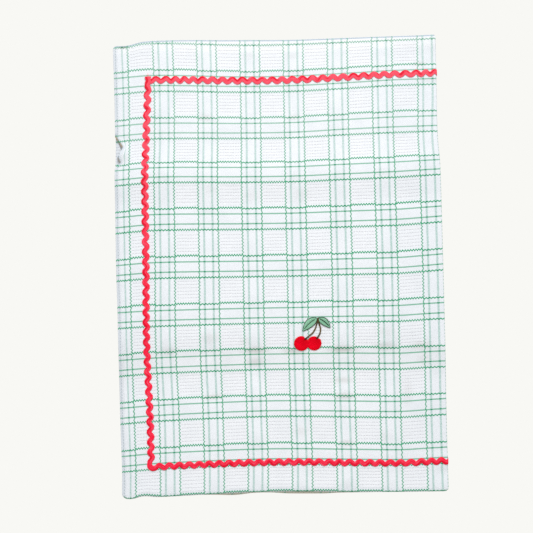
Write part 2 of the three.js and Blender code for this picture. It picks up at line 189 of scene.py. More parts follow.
def dentPush(v):
    places, push = dent["places"], dent["push"]
    for k in range(1, len(places)):
        if places[k - 1] <= v <= places[k]:
            return mix(push[k - 1], push[k], (v - places[k - 1]) / (places[k] - places[k - 1]))
    return 0


def roundCorner(u, v):
    for cornerU, cornerV, radius in corners:
        a = radius - abs(u - cornerU)
        b = radius - abs(v - cornerV)
        if a > 0 and b > 0:
            pull = 1 - max(a, b) / math.hypot(a, b)
            u += math.copysign(a * pull, folded / 2 - u)
            v += math.copysign(b * pull, cloth["width"] / 2 - v)
    return u, v


def planPoint(u, v, upper):
    u, v = roundCorner(u, v)
    x = u - folded / 2 + strayed("across", u, v)
    y = v - cloth["width"] / 2 + strayed("up", u, v)
    for middle, edge, reach, depth, fade in droops:
        y -= depth * fadeOut(abs(u - middle), 0, reach) * fadeOut(abs(v - edge), 0, fade)
    if upper:
        return x + dentPush(v) * fadeOut(u, *dent["fade"]), y
    if peek["places"][0] < u < peek["places"][-1]:
        y -= curveThrough(peek["places"], peek["depth"], u) * fadeOut(v, 0, peek["reach"])
    x += peek["tuck"] * fadeOut(u, 0, dent["fade"][1])
    y += peek["tuck"] * (1 - 2 * smooth(v / cloth["width"])) * fadeOut(u, 0, folded)
    return x, y


def hemDistance(u, v):
    return min(u, v, cloth["width"] - v)


def edgeDrop(u, v):  # the turned hem's edge is a half round
    t = clamp01(1 - hemDistance(u, v) / cloth["hemRound"])
    return cloth["hemThick"] / 2 * (1 - math.sqrt(1 - t * t))


def thickness(u, v):
    inside = clamp01((hemDistance(u, v) - cloth["hemWide"]) / cloth["hemStep"])
    return max(cloth["thinnest"], mix(cloth["hemThick"], cloth["thick"], inside) - 2 * edgeDrop(u, v))


def groupPlace(at, way):  # 0 to 1 across a line group, or 1 to 2 across the gap after it
    repeat, wide = plaid[way + "Repeat"], plaid[way + "Zigs"][1]
    phase = (at - plaid[way + "Start"]) % repeat
    return phase / wide if phase < wide else 1 + (phase - wide) / (repeat - wide)


def uneven(i, j):  # a fixed number from 0 to 1 for each block of the plaid
    return (math.sin(i * 12.99 + j * 78.23) * 437.58) % 1


def plainColumn(u):
    place = groupPlace(u, "column")
    return arch(place) if place < 1 else 0


def puckers(u, v):
    columnPlace, rowPlace = groupPlace(u, "column"), groupPlace(v, "row")
    block = uneven(math.floor((u - plaid["columnStart"]) / plaid["columnRepeat"]),
                   math.floor((v - plaid["rowStart"]) / plaid["rowRepeat"]))
    column = abs(arch(columnPlace))
    row = abs(arch(rowPlace))
    rise = 0
    if columnPlace < 1:
        rise += pucker["column"] * column * (pucker["least"] + block)
    if rowPlace < 1:
        rise += pucker["row"] * row * (1 + pucker["least"] - block)
    if columnPlace < 1 and rowPlace < 1:
        rise += pucker["block"] * column * row * block
    if columnPlace > 1 and rowPlace > 1:
        rise += pucker["waffle"] * min(1, pucker["waffleSteep"] * column * row)
    over = (v - plaid["rowStart"] - plaid["rowZigs"][1] + pucker["pillowStart"]) % plaid["rowRepeat"]
    over /= plaid["rowRepeat"] - plaid["rowZigs"][1] + pucker["pillowStart"]
    if columnPlace < 1 and over < 1:  # steeper on the near side
        high = max(pucker["pillowLeast"], block ** 2)
        rise += pucker["pillow"] * column * arch(math.sqrt(over)) * high
    return rise * ramp(hemDistance(u, v), *pucker["edge"])


def rippleHeight(u, v):
    height = 0
    for middleU, middleV, degrees, long, wide, rise in ripples:
        turn = math.radians(degrees)
        du, dv = u - middleU, v - middleV
        along = (du * math.cos(turn) + dv * math.sin(turn)) / long
        across = (dv * math.cos(turn) - du * math.sin(turn)) / wide
        height += rise * clamp01(1 - along * along - across * across) ** 2
    return height


def creaseHeight(u, v, key):
    height = 0
    for crease in creases:
        far = v > crease["v"]
        part = clamp01(1 - abs(v - crease["v"]) / crease["above" if far else "below"])
        part = part ** 2 if far and crease["sharp"] else smooth(part)
        height += crease[key] * part * (1 + crease["plainMore"] * (plainColumn(u) - plainMean))
    return height


# The trim tape's wave and its place: a disc swept along a wave gives round bumps and sharp notches.
# Its legs run down the upper layer, along the near line, up the lower layer and back along the far line.
tape = {
    "pitch": 19.4, "amplitude": 3.1, "wide": 9.2, "thick": 1.0, "seat": 0.35, "body": 0.62,
    "corner": 9, "cornerBulge": 2.6, "cornerStep": 7.5,
    "sideInset": 58, "nearInset": 61.5, "farInset": 77.5, "edgeSamples": 8,
    "leanFrom": 600, "leanSideways": 6.5, "leanFade": (95, 175),
    "overrun": 7, "endLift": 1.35, "endRamp": 26, "endTuck": 2, "endCalm": 0.5,
    "waves": [39, 59, 39, 58], "shifts": [0, 3.8, 0, 5.4],
    "upperSteps": 16, "lowerSteps": 8, "pastFold": 12,
    "across": [-1, -0.94, -0.72, -0.36, 0, 0.36, 0.72, 0.94, 1], "clearFull": 10.5, "clearFade": 19,
}
sideS, backS = tape["sideInset"], cloth["length"] - tape["sideInset"]
nearLine, farLine = tape["nearInset"], cloth["width"] - tape["farInset"]
tapeLift = tape["seat"] + tape["thick"]


def tapeClearance(u, v):  # the lower layer stands clear of the floor where the tape lies under it
    fade = tape["clearFade"]
    gaps = []
    if nearLine - fade < v < farLine + fade:
        gaps.append(abs(u - sideS))
    if u > sideS - fade:
        gaps += [abs(v - nearLine), abs(v - farLine)]
    return tapeLift * fadeOut(min(gaps), tape["clearFull"], fade) if gaps else 0


def lowerFace(u, v):
    return creaseHeight(u, v, "low") + tapeClearance(u, v) + edgeDrop(u, v)


def foldTopAt(v):
    hem = fadeOut(hemDistance(folded, v), cloth["hemWide"], cloth["hemSettle"])
    return lowerFace(folded, v) + mix(cloth["foldTop"], cloth["hemTop"], hem) - 2 * edgeDrop(folded, v)


def upperFace(u, v):
    nearHem = fadeOut(hemDistance(u, v), cloth["hemWide"], cloth["hemSettle"])
    away = math.hypot(u - puff["u"], v - puff["v"]) / puff["reach"]
    relief = creaseHeight(u, v, "top") + puff["rise"] * fadeOut(away, 0, 1)
    relief += puckers(u, v) + rippleHeight(u, v)
    pressed = lowerFace(u, v) + 2 * thickness(u, v) + cloth["layerGap"]
    level = mix(cloth["restTop"], cloth["hemTop"], nearHem)
    lying = max(level + relief - edgeDrop(u, v), pressed)
    return mix(foldTopAt(v), lying, smooth((folded - u) / cloth["foldSettle"]))


def clothPoint(s, v):  # the cloth's outer face: it looks up on the upper layer and down on the lower one
    turn = (s - folded) / cloth["foldHalf"]
    if abs(turn) > 1:
        upper = turn < 0
        u = fromHem(s)
        x, y = planPoint(u, v, upper)
        z = upperFace(u, v) if upper else lowerFace(u, v)
    else:
        x, y = planPoint(folded, v, True)
        low = lowerFace(folded, v)
        radius = (foldTopAt(v) - low) / 2
        angle = -turn * math.pi / 2
        x += radius * (math.cos(angle) - 1)
        z = low + radius * (1 + math.sin(angle))
    return Vector((x - cloth["middle"][0], y - cloth["middle"][1], z)) * metres


def seatPoint(s, v, height):  # a place this high over the cloth's outer face
    near = 1.0
    across = clothPoint(s + near, v) - clothPoint(s - near, v)
    up = clothPoint(s, min(v + near, cloth["width"])) - clothPoint(s, max(v - near, 0))
    return clothPoint(s, v) + across.cross(up).normalized() * height * metres


# Node helpers: each adds a node to the tree of the shader or socket it is given, and returns its socket
def linear(red, green, blue):  # a colour written as 0 to 255 steps, as a shader needs it
    return tuple(mix(c / 12.92, ((c + 0.055) / 1.055) ** 2.4, c > 0.04045) for c in
                 (red / 255, green / 255, blue / 255))


def plug(place, value):  # another socket, a colour of 0 to 255 steps, or plain numbers
    if isinstance(value, bpy.types.NodeSocket):
        place.id_data.links.new(value, place)
    else:
        place.default_value = (*linear(*value), 1) if place.type == "RGBA" else value


def addNode(owner, kind, values=(), **settings):
    node = owner.id_data.nodes.new("ShaderNode" + kind)
    for name, value in settings.items():
        setattr(node, name, value)
    for name, value in values:
        plug(node.inputs[name], value)
    return node


def calc(operation, *values):
    owner = next(value for value in values if isinstance(value, bpy.types.NodeSocket))
    return addNode(owner, "Math", enumerate(values), operation=operation).outputs[0]


def times(*values):
    product = values[0]
    for value in values[1:]:
        product = calc("MULTIPLY", product, value)
    return product


def step(value, start, end, low=0, high=1):
    names = ("Value", "From Min", "From Max", "To Min", "To Max")
    values = zip(names, (value, start, end, low, high))
    return addNode(value, "MapRange", values, interpolation_type="SMOOTHSTEP").outputs["Result"]


def blend(amount, first, second, how="MIX"):
    values = zip((0, 6, 7), (amount, first, second))
    return addNode(amount, "Mix", values, data_type="RGBA", blend_type=how).outputs[2]


def cloud(vector, scale, detail):
    values = zip(("Vector", "Scale", "Detail"), (vector, scale, detail))
    return addNode(vector, "TexNoise", values).outputs["Fac"]


def scaled(vector, scale, place=(0, 0, 0)):
    values = zip(("Vector", "Scale", "Location"), (vector, scale, place))
    return addNode(vector, "Mapping", values).outputs[0]


def bump(shader, height, strength, size):
    node = addNode(shader, "Bump", zip(("Height", "Strength", "Distance"), (height, strength, size)))
    plug(shader.inputs["Normal"], node.outputs[0])


def apart(shader, vector):
    return addNode(shader, "SeparateXYZ", [(0, vector)]).outputs


def sheetPlace(shader):  # a piece's own UV map, as it is and as millimetres each way
    uv = addNode(shader, "UVMap", uv_map="UVMap").outputs[0]
    ways = apart(shader, uv)
    return uv, calc("DIVIDE", ways[0], metres), calc("DIVIDE", ways[1], metres)


def objectPlace(shader):
    return addNode(shader, "TexCoord").outputs["Object"]


def attribute(shader, name):
    return addNode(shader, "Attribute", attribute_name=name).outputs["Fac"]


def newMaterial(name, roughness, sheen=0.0, specular=0.5):
    material = bpy.data.materials.new(name)
    material.use_nodes = True
    shader = material.node_tree.nodes["Principled BSDF"]
    shader.inputs["Roughness"].default_value = roughness
    shader.inputs["Sheen Weight"].default_value = sheen
    shader.inputs["Specular IOR Level"].default_value = specular
    return material, shader


# Colours are 0 to 255 steps. A fade tells from where to where it runs, then from how much to how much.
cotton = {
    "white": (241, 244, 248), "plainShade": (236, 240, 244), "patchScale": 26, "patchFade": (0.35, 0.7),
    "waffle": (250, 250, 252), "waffleShow": 0.3, "waffleEdge": (3.4, 5.5, 1.2),
    "green": (0, 162, 110), "paleGreen": (124, 184, 166), "soft": 0.3, "groupSoft": 1.5,
    "crossing": (0, 138, 94), "crossingFade": (0, 0.4, 0, 0.75),
    "columnZigHalf": 1.15, "columnZig": 0.82, "rowZigHalf": 1.35, "groupZig": 0.9,
    "rowZig": [0.9, 1.0], "rowLift": [0, 1.8], "rowLower": [0, 0.7],
    "rowFineHalf": 1.35, "rowFine": 0.7, "columnFineHalf": 2.0, "columnFineSoft": 0.9, "columnFine": 0.53,
    "fleckScale": (330, 330, 1), "fleckFade": (0.35, 0.65, 0.75, 1.2), "paleFade": (3, 6),
    "columnWave": (1.5, 8.6, 1.0), "rowWave": (1.6, 6.7, 1.1),
    "cellWide": 5.2, "cellTall": 6.4, "cellStartU": 46.1, "cellStartV": 50.5,
    "shadedHollow": (204, 203, 214), "dashHalfLong": 1.95, "dashHalfTall": 0.9, "dashFade": (1.9, 0.3),
    "hollowShade": 0.33, "hemShadeGrey": (177, 189, 201), "gapShade": (178, 163, 138),
    "underShade": (216, 206, 190), "underFade": (2.1, 2.6), "underGreen": (0, 1, 1, 0.25),
    "rolledZigShaded": (104, 132, 136), "dotsAt": -2.2, "dotsHalf": 1.0, "dotsWave": (5.8, 0.6),
    "dotsFade": (-0.2, 0.3, 0.15, 0.5), "farPalingFade": (590, 740, 1, 0.84), "nearFade": (4, 8, 0.8, 1),
    "farFade": (874, 884, 1, 0.85), "farWhite": (255, 255, 255), "farBright": (874, 884, 0, 0.3),
    "dip": (150, 140, 116), "yarn": 0.9, "yarnHigh": 0.05, "dashDeep": 0.35, "zigHigh": 0.16,
    "slubScale": 160, "slubHigh": 0.3,
}


def cottonMaterial():
    material, shader = newMaterial("waffle cotton", roughness=0.92, sheen=0.15, specular=0.2)
    uv, s, v = sheetPlace(shader)
    column = (s, plaid["columnStart"], plaid["columnRepeat"])
    row = (v, plaid["rowStart"], plaid["rowRepeat"])

    def lineAway(value, start, repeat, offset):  # signed distance to the nearest line of this kind
        return calc("WRAP", calc("SUBTRACT", value, start + offset), repeat / 2, -repeat / 2)

    def line(away, half, soft=cotton["soft"]):
        return step(calc("ABSOLUTE", away), half + soft, half - soft)

    def within(way, first, last, soft):  # 1 inside this stretch of every repeat
        return line(lineAway(*way, (first + last) / 2), (last - first) / 2, soft)

    def zigzag(value, pitch, height):
        return calc("MULTIPLY_ADD", calc("PINGPONG", value, pitch / 2), 4 * height / pitch, -height)

    def bareUnder(cover, strength):  # what a line leaves bare
        return calc("SUBTRACT", 1, times(cover, strength))

    def wave(value, inside, pitch, high, innerPitch, innerHigh):  # the zigzag differs inside line groups
        outer = times(zigzag(value, pitch, high), calc("SUBTRACT", 1, inside))
        return calc("ADD", outer, times(zigzag(value, innerPitch, innerHigh), inside))

    groupColumn = within(column, *plaid["columnZigs"], cotton["groupSoft"])
    groupRow = within(row, *plaid["rowZigs"], cotton["groupSoft"])
    clearU, clearV, soft = cotton["waffleEdge"]
    waffle = times(within(column, plaid["columnZigs"][1] + clearU, plaid["columnRepeat"] - clearU, soft),
                   within(row, plaid["rowZigs"][1] + clearV, plaid["rowRepeat"] - clearV, soft))
    sideways = wave(v, groupRow, cotton["cellTall"], *cotton["columnWave"])
    upright = wave(s, groupColumn, cotton["cellWide"], *cotton["rowWave"])

    bare = 1.0
    raised = 0.0
    pale = 0.0
    for offset in plaid["columnZigs"]:
        cover = line(calc("SUBTRACT", lineAway(*column, offset), sideways), cotton["columnZigHalf"])
        raised = calc("MAXIMUM", cover, raised)
        bare = times(bareUnder(cover, cotton["columnZig"]), bare)
    parts = zip(plaid["rowZigs"], cotton["rowZig"], cotton["rowLift"], cotton["rowLower"])
    for offset, strength, lift, lower in parts:
        # The waffle pulls its nearer edge up, away from the plain columns
        shift = step(groupColumn, 0, 1, lift - lower, -lower)
        away = calc("SUBTRACT", calc("SUBTRACT", lineAway(*row, offset), shift), upright)
        cover = line(away, cotton["rowZigHalf"])
        raised = calc("MAXIMUM", cover, raised)
        inGroup = step(groupColumn, 0, 1, 1, cotton["groupZig"] / strength)
        bare = times(bareUnder(times(cover, strength), inGroup), bare)
    for offset in plaid["rowFines"]:
        cover = line(lineAway(*row, offset), cotton["rowFineHalf"])
        bare = times(bareUnder(cover, cotton["rowFine"]), bare)
    for offset in plaid["columnFines"]:
        cover = line(lineAway(*column, offset), cotton["columnFineHalf"], cotton["columnFineSoft"])
        pale = calc("MAXIMUM", cover, pale)
    flecks = cloud(scaled(uv, cotton["fleckScale"]), 1, 1)
    # The greens are paler towards the far side
    farPaling = step(v, *cotton["farPalingFade"])
    pale = times(pale, step(flecks, *cotton["fleckFade"]), cotton["columnFine"], farPaling,
                 step(s, *cotton["paleFade"]))
    hemShadeAmount = attribute(shader, "shade")
    under = step(hemShadeAmount, *cotton["underFade"])
    green = times(calc("SUBTRACT", 1, bare), farPaling, step(under, *cotton["underGreen"]),
                  step(v, *cotton["nearFade"]), step(v, *cotton["farFade"]))
    crossing = step(times(green, pale), *cotton["crossingFade"])

    # Each waffle cell is sunk round its middle, a little wider than it is tall. The sunk middle
    # is also darkened in colour, as painted shade
    cellU = lineAway(s, plaid["columnStart"], cotton["cellWide"], cotton["cellStartU"])
    cellV = lineAway(v, plaid["rowStart"], cotton["cellTall"], cotton["cellStartV"])
    cellU = calc("DIVIDE", cellU, cotton["dashHalfLong"])
    cellV = calc("DIVIDE", cellV, cotton["dashHalfTall"])
    away = calc("ADD", calc("POWER", calc("ABSOLUTE", cellU), 3), times(cellV, cellV))
    shadedHollow = times(step(away, *cotton["dashFade"]), waffle)

    # The plaid's zigzag shows as dots where it turns under the side hem, coloured dark slate as painted
    # shade of the rolled edge
    wavy = zigzag(v, *cotton["dotsWave"])
    dots = line(calc("SUBTRACT", calc("SUBTRACT", s, cotton["dotsAt"]), wavy), cotton["dotsHalf"])
    dots = times(dots, step(wavy, *cotton["dotsFade"]))
    patches = step(cloud(uv, cotton["patchScale"], 3), *cotton["patchFade"])
    base = blend(patches, cotton["white"], cotton["plainShade"])
    for amount, colour in (
            # The waffle's lighter tone, then painted shade in the sunk middle of each waffle cell
            (times(waffle, cotton["waffleShow"]), "waffle"), (times(shadedHollow, cotton["hollowShade"]), "shadedHollow"),
            # The far hem is lighter: partly its doubled cloth, partly painted light where the hem stands up
            # towards the light
            (step(v, *cotton["farBright"]), "farWhite"),
            # Painted shade along the hems, painted tan shadow in the slits, and the lower layer's near hem
            # in painted shadow
            (hemShadeAmount, "hemShadeGrey"), (calc("SUBTRACT", hemShadeAmount, 1), "gapShade"), (under, "underShade"),
            (dots, "rolledZigShaded"), (pale, "paleGreen"), (green, "green"), (crossing, "crossing")):
        base = blend(amount, base, cotton[colour])
    # Painted warm shade in the dips, along the valley crease and along the near hem
    base = blend(attribute(shader, "warmShade"), base, cotton["dip"], "MULTIPLY")
    plug(shader.inputs["Base Color"], base)

    # Heights in millimetres: sunk waffle cells, raised zigzag floats, and the single yarns
    turnPerMm = math.tau / cotton["yarn"]
    yarns = times(calc("SINE", times(s, turnPerMm)), calc("SINE", times(v, turnPerMm)))
    height = calc("MULTIPLY_ADD", shadedHollow, -cotton["dashDeep"], times(yarns, cotton["yarnHigh"]))
    height = calc("MULTIPLY_ADD", raised, cotton["zigHigh"], height)
    height = calc("MULTIPLY_ADD", cloud(uv, cotton["slubScale"], 3), cotton["slubHigh"], height)
    bump(shader, height, 1.0, metres)
    return material


braid = {
    "light": (255, 84, 108), "base": (252, 34, 66), "dark": (227, 4, 42), "farPale": (255, 112, 128),
    "fade": (-0.12, 0.38, 0, 0.5), "streakScale": (95, 420, 1), "streaks": (0.42, 0.72),
    "patchScale": (60, 150, 1), "patches": (0.5, 0.66, 0, 0.85),
    "outer": (-3, 3, 0.1, -0.12), "strandPitch": 1.15, "strandLean": 0.8, "strandHigh": 0.5,
    "ribPitch": 1.2, "ribHigh": 0.4, "bump": 0.7, "deep": 0.12,
}


def braidMaterial():
    material, shader = newMaterial("braid red", roughness=0.75, specular=0.08)
    uv, along, aside = sheetPlace(shader)
    streaks = cloud(scaled(uv, braid["streakScale"]), 1, 2)
    patches = cloud(scaled(uv, braid["patchScale"], (2, 5, 0)), 1, 2)
    colour = blend(step(streaks, *braid["streaks"]), braid["base"], braid["light"])
    # Paler and lighter towards the far side than the near one
    farPaling = step(apart(shader, objectPlace(shader))[1], *braid["fade"])
    colour = blend(farPaling, colour, braid["farPale"])
    # Darker patches, scattered at random and more of them on the outer bends, as painted shade of the
    # braid's sheen
    patches = calc("ADD", patches, step(aside, *braid["outer"]))
    colour = blend(step(patches, *braid["patches"]), colour, braid["dark"])
    plug(shader.inputs["Base Color"], colour)
    # Slanted braid strands, leaning the other way on each half of the tape
    across = calc("ABSOLUTE", aside)
    slant = times(calc("MULTIPLY_ADD", across, braid["strandLean"], along), math.tau / braid["strandPitch"])
    ribs = calc("SINE", times(across, math.tau / braid["ribPitch"]))
    height = calc("MULTIPLY_ADD", calc("SINE", slant), braid["strandHigh"], times(ribs, braid["ribHigh"]))
    bump(shader, height, braid["bump"], braid["deep"] * metres)
    return material


thread = {"fleckScale": 900, "twistScale": 2600, "bump": 0.5, "deep": 0.15}


def threadMaterial(name, light, dark, roughness=0.5, specular=0.25, flecks=0.7):
    material, shader = newMaterial(name, roughness, specular=specular)
    place = objectPlace(shader)
    fleck = calc("MULTIPLY_ADD", cloud(place, thread["fleckScale"], 2), flecks, -flecks / 2)
    amount = calc("ADD", fleck, attribute(shader, "tone"))
    plug(shader.inputs["Base Color"], blend(step(amount, 0, 1), light, dark))
    bump(shader, cloud(place, thread["twistScale"], 2), thread["bump"], thread["deep"] * metres)
    return material


materials = {
    "cotton": cottonMaterial(),
    "braid": braidMaterial(),
    "satin": threadMaterial("satin red thread", (248, 0, 36), (200, 0, 12), 0.45, 0.07, 0.3),
    "leaf": threadMaterial("pale leaf thread", (156, 208, 176), (88, 152, 120), 0.5),
    "outline": threadMaterial("dark leaf thread", (66, 78, 48), (28, 46, 26), 0.55),
    "stem": threadMaterial("brown stem thread", (112, 92, 50), (42, 32, 8), 0.55),
    "white": threadMaterial("white sewing thread", (250, 250, 250), (214, 216, 222), 0.6),
    "red": threadMaterial("red sewing thread", (255, 96, 110), (214, 10, 44), 0.55),
}
print("materials made:", len(materials))

made = {}


def finishPiece(name, mesh, material, node=None):
    mesh.name = name
    mesh.materials.clear()
    mesh.materials.append(materials[material])
    mesh.shade_smooth()
    piece = bpy.data.objects.new(name, mesh)
    bpy.context.scene.collection.objects.link(piece)
    if node:
        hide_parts(node)
    made[name] = piece
    return piece


def thicken(piece, thick):
    solid = piece.modifiers.new("thickness", "SOLIDIFY")
    solid.thickness = thick * metres
    solid.offset = -1
    return solid


def meshOf(bm):
    mesh = bpy.data.meshes.new("mesh")
    bm.to_mesh(mesh)
    bm.free()
    return mesh


def sheetMesh(columns, rows, place, uvPlace, weight=None, amounts=None):
    # A bmesh grid whose vertices go where place says, for each column and row
    bm = bmesh.new()
    bmesh.ops.create_grid(bm, x_segments=len(columns) - 1, y_segments=len(rows) - 1, size=1)
    uvLayer = bm.loops.layers.uv.new("UVMap")
    deform = bm.verts.layers.deform.verify() if weight else None
    layers = {bm.verts.layers.float.new(kind): amount for kind, amount in (amounts or {}).items()}
    cells = {}
    for vert in bm.verts:
        cell = (columns[round((vert.co.x + 1) / 2 * (len(columns) - 1))],
                rows[round((vert.co.y + 1) / 2 * (len(rows) - 1))])
        cells[vert] = cell
        vert.co = place(*cell)
        if weight:
            vert[deform][0] = weight(*cell)
        for layer, amount in layers.items():
            vert[layer] = amount(*cell)
    for face in bm.faces:
        for loop in face.loops:
            loop[uvLayer].uv = uvPlace(*cells[loop.vert])
    return meshOf(bm)


def spread(start, end, spacing):
    count = max(1, round((end - start) / spacing))
    return [start + (end - start) * k / count for k in range(count + 1)]


def patternPlace(s, v):
    # Where the plaid is on the flat cloth, in metres: it creeps under at the near hem and the side hem
    u = fromHem(s)
    upper = s < folded
    creepU = plaid["sideCreep"] * fadeOut(u, 0, plaid["sideReach"])
    if upper:
        creepU += dent["creep"] * dentPush(v) * fadeOut(u, *dent["fade"])
    high = ramp(v, *plaid["foldRise"])
    atFold = mix(plaid["foldCreep"], plaid["foldCreepFar"], high)
    s -= atFold * fadeOut(abs(s - folded), 0, plaid["foldReach"])
    far = ramp(v, *plaid["farRise"])
    creepV = plaid["nearCreep"] * fadeOut(v, 0, plaid["nearReach"])
    creepV -= curveThrough(stray["columns"], plaid["farCreep"], u) * far
    return (s + (creepU if upper else -creepU)) * metres, (v + creepV) * metres


# How grey the painted shade is along the doubled hems, the fold and the cloth's sides, and from where to
# where in from each edge it fades. An amount over 1 paints tan shadow in the slits and on the lower layer's
# near hem.
hemShade = {"side": (0.37, 5, 11), "far": (1.0, 2.3, 3.1), "near": (0.2, 3, 16), "fold": (0.3, 1, 5),
            "sides": (0.07, 20, 170), "under": (3, 5, 7), "slit": (1, 2.6, 4.6)}


def shadeAt(s, v):
    u = fromHem(s)

    def amount(key, distance):
        most, full, end = hemShade[key]
        return most * fadeOut(distance, full, end)

    amounts = [amount("side", u), amount("far", cloth["width"] - v), amount("near", v),
               amount("fold", folded - u), amount("sides", min(u, folded - u))]
    if s > folded:
        amounts.append(amount("under", v))
    else:
        amounts += [amount("slit", u) * dark * fadeOut(abs(v - middle), half / 2, half)
                    for middle, half, dark in slits]
    return max(amounts)


# Warm soft shade where the upper layer dips, placed where renders looked lighter than the photo:
# middle, half width, half height and depth
dips = [
    (275, 281, 38, 11, 0.32), (352, 278, 32, 9, 0.28), (449, 281, 42, 11, 0.36), (187, 192, 30, 8, 0.28),
    (450, 190, 34, 9, 0.28), (274, 259, 30, 14, 0.22), (448, 221, 30, 9, 0.24), (451, 99, 24, 9, 0.26),
    (185, 309, 28, 16, 0.14), (254, 300, 16, 12, 0.1), (532, 317, 26, 18, 0.1), (376, 588, 26, 20, 0.07),
    (274, 587, 26, 14, 0.06), (189, 601, 20, 18, 0.07), (361, 121, 20, 16, 0.12), (527, 114, 18, 16, 0.08),
    (179, 749, 18, 9, 0.2), (362, 748, 18, 9, 0.16), (271, 870, 18, 12, 0.08), (360, 869, 18, 12, 0.1),
    (612, 842, 22, 6, 0.25), (573, 196, 14, 40, 0.12), (605, 259, 22, 18, 0.1), (531, 287, 34, 12, 0.22),
    (600, 286, 30, 12, 0.22), (105, 287, 26, 12, 0.14), (20, 897, 14, 4, 0.55),
]
# Painted shade along the valley crease, and along the near hem's rounded edge
valleyShade = {"v": 282, "rise": 5, "reach": 80, "depth": 0.08}
nearEdgeShade = {"near": 0.2, "full": 2, "end": 4.4}


def warmShadeAt(s, v):
    if s > folded:
        return 0
    below = valleyShade["v"] - v
    amount = valleyShade["depth"] * fadeOut(abs(below), 0, valleyShade["reach" if below > 0 else "rise"])
    amount += nearEdgeShade["near"] * fadeOut(v, nearEdgeShade["full"], nearEdgeShade["end"])
    for u, middle, across, up, depth in dips:
        away = ((s - u) / across) ** 2 + ((v - middle) / up) ** 2
        amount += depth * clamp01(1 - away) ** 2
    return amount


def makeCloth():
    half = cloth["foldHalf"]
    hem = cloth["hemStations"]
    upper = hem + spread(hem[-1], folded - half, cloth["upperSpacing"])[1:]
    arc = [folded + half * (2 * k / cloth["foldSteps"] - 1) for k in range(1, cloth["foldSteps"])]
    lower = spread(folded + half, cloth["length"] - hem[-1], cloth["lowerSpacing"])
    lower += [cloth["length"] - u for u in reversed(hem[:-1])]
    rows = hem + spread(hem[-1], cloth["width"] - hem[-1], cloth["upperSpacing"])[1:]
    rows += [cloth["width"] - v for v in reversed(hem[:-1])]

    def share(s, v):
        return thickness(fromHem(s), v) / cloth["hemThick"]

    mesh = sheetMesh(upper + arc + lower, rows, clothPoint, patternPlace, share,
                     {"shade": shadeAt, "warmShade": warmShadeAt})
    panel = finishPiece("cloth_panel", mesh, "cotton", "cloth")
    panel.vertex_groups.new(name="thickness")
    thicken(panel, cloth["hemThick"]).vertex_group = "thickness"
    return panel


clothPanel = makeCloth()
print("cloth:", len(clothPanel.data.polygons), "faces before its thickness")


def tapeEdge(phase, side):
    reach = tape["wide"] / 2
    count = tape["edgeSamples"]
    edge = -tape["wide"]
    for k in range(-count, count + 1):
        along = reach * k / count
        wave = side * tape["amplitude"] * math.cos(phase + math.tau * along / tape["pitch"])
        edge = max(edge, wave + math.sqrt(max(0, reach ** 2 - along ** 2)))
    return side * edge


def tapeStations():
    # The tape's way round: at each station its place, the way into the rectangle, wave phase and lift
    route = [Vector(at) for at in ((sideS, farLine), (sideS, nearLine), (backS, nearLine), (backS, farLine),
                                   (sideS, farLine))]
    waves = [(end - start).length / count for start, end, count in zip(route, route[1:], tape["waves"])]
    shifts, corner, turn = tape["shifts"], tape["corner"], math.tau
    final = len(waves) - 1
    tiny = 1e-6
    stations = []
    for n, (start, end) in enumerate(zip(route, route[1:])):
        length = (end - start).length
        ahead = (end - start) / length
        inward = Vector((-ahead.y, ahead.x))
        along = corner if n else -tape["overrun"]
        last = length - (tape["endTuck"] if n == final else corner)
        while along < last + tiny:
            lift = 0 if n else tape["endLift"] * fadeOut(along, 0, tape["endRamp"])
            place = start + ahead * along
            stations.append((place, inward, turn * (along + shifts[n]) / waves[n], lift))
            onTop = place.x < folded + tape["pastFold"]
            pace = waves[n] / tape["upperSteps" if onTop else "lowerSteps"]
            along += last - along if tiny <= last - along <= pace else pace
        if n == final:
            break
        # A quarter turn round the corner, in which the wave stays out to where the next leg starts
        phase = -turn * (corner - shifts[n]) / waves[n]
        nextPhase = turn * (corner + shifts[n + 1]) / waves[n + 1]
        nextPhase -= turn * round((nextPhase - phase) / turn)
        pivot = start + ahead * (length - corner) + inward * corner
        degrees = tape["cornerStep"]
        while degrees < 90 - tiny:
            angle = math.radians(degrees)
            spoke = ahead * math.sin(angle) - inward * math.cos(angle)
            reach = corner + tape["cornerBulge"] * math.sin(2 * angle)
            stations.append((pivot + spoke * reach, -spoke, mix(phase, nextPhase, degrees / 90), 0))
            degrees += tape["cornerStep"]
    return stations


stations = tapeStations()


def tapeSeat(at, height):  # a place on the tape's route, which leans inwards high up on the upper layer
    lean = clamp01((at.y - tape["leanFrom"]) / (farLine - tape["leanFrom"])) ** 2
    sideways = tape["leanSideways"] * lean * fadeOut(at.x, *tape["leanFade"])
    return seatPoint(at.x + sideways, at.y, height)


def tapeAcross(phase, t):  # t runs from -1 to 1 across the tape
    return mix(tapeEdge(phase, -1), tapeEdge(phase, 1), (t + 1) / 2)


def makeTape():
    ways = [0.0]
    for before, after in zip(stations, stations[1:]):
        ways.append(ways[-1] + (after[0] - before[0]).length)

    def place(k, t):
        at, inward, phase, lift = stations[k]
        calm = lift * tape["endCalm"] * tape["amplitude"] * math.cos(phase)  # the raised end waves less
        crown = 0.5 + 0.5 * math.sqrt(max(0, 1 - t ** 4))
        height = tape["seat"] + tape["thick"] * crown
        return tapeSeat(at + inward * (tapeAcross(phase, t) - calm), height + lift)

    def uvPlace(k, t):
        phase = stations[k][2]
        return ways[k] * metres, (tapeAcross(phase, t) - tape["amplitude"] * math.cos(phase)) * metres

    mesh = sheetMesh(range(len(stations)), tape["across"], place, uvPlace)
    ribbon = finishPiece("trim_tape", mesh, "braid", "rick_rack")
    thicken(ribbon, tape["body"])
    return ribbon


trimTape = makeTape()
print("tape:", len(trimTape.data.polygons), "faces before its thickness")


